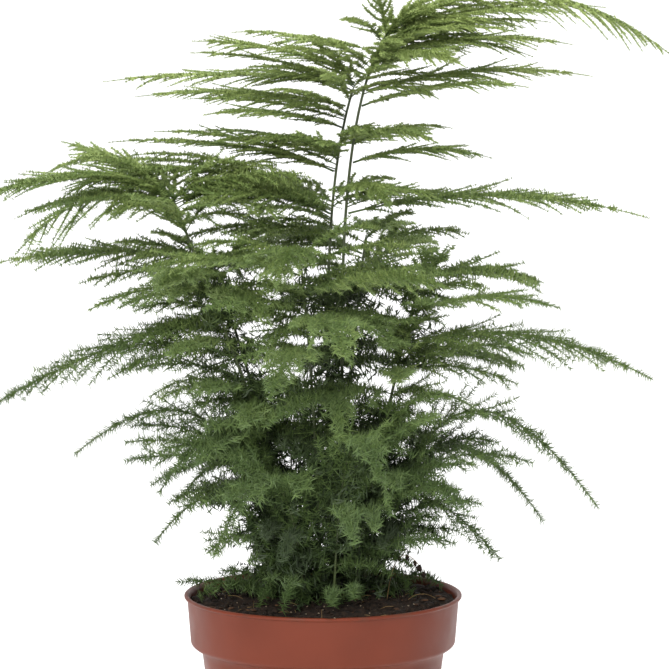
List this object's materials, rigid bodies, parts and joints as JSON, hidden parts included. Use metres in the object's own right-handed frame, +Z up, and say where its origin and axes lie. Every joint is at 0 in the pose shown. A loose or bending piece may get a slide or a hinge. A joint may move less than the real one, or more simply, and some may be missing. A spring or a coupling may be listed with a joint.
{
  "type": "potted lace fern",
  "caption": "Feathery lace fern with tiers of level, needle-clad fronds on wiry stems, growing in a round plastic nursery pot.",
  "frame": {"origin": "middle of the flat pad under the pot, on the surface the pot stands on", "axes": "+Z up along the pot's axis, +X to the right and -Y to the front of the plant"},
  "size_m": [0.378, 0.302, 0.456],
  "materials": {
    "pot": "satin terracotta-brown moulded plastic",
    "potting_mix": "damp dark peat with bark bits",
    "stem": "wiry grey-green stem",
    "frond": "soft fresh green needles on a thin green midrib",
    "shoot": "soft deep green needles on a thin green stem"
  },
  "bodies": {
    "root": {"frond_01": "frond", "frond_02": "frond", "frond_03": "frond", "frond_04": "frond", "frond_05": "frond", "frond_06": "frond", "frond_07": "frond", "frond_08": "frond", "frond_09": "frond", "frond_10": "frond", "frond_11": "frond", "frond_12": "frond", "frond_13": "frond", "frond_14": "frond", "frond_15": "frond", "frond_16": "frond", "frond_17": "frond", "frond_18": "frond", "frond_19": "frond", "frond_20": "frond", "frond_21": "frond", "frond_22": "frond", "frond_23": "frond", "frond_24": "frond", "frond_25": "frond", "frond_26": "frond", "frond_27": "frond", "frond_28": "frond", "frond_29": "frond", "frond_30": "frond", "frond_31": "frond", "frond_32": "frond", "frond_33": "frond", "frond_34": "frond", "frond_35": "frond", "frond_36": "frond", "frond_37": "frond", "frond_38": "frond", "frond_39": "frond", "pot": "pot", "potting_mix": "potting_mix", "shoot_01": "shoot", "shoot_02": "shoot", "shoot_03": "shoot", "shoot_04": "shoot", "shoot_05": "shoot", "shoot_06": "shoot", "shoot_07": "shoot", "shoot_08": "shoot", "shoot_09": "shoot", "shoot_10": "shoot", "shoot_11": "shoot", "shoot_12": "shoot", "stem_back": "stem", "stem_front": "stem", "stem_left_middle": "stem", "stem_left_shoulder": "stem", "stem_right_middle": "stem", "stem_tall_left": "stem", "stem_tall_right": "stem"}
  },
  "joints": []
}
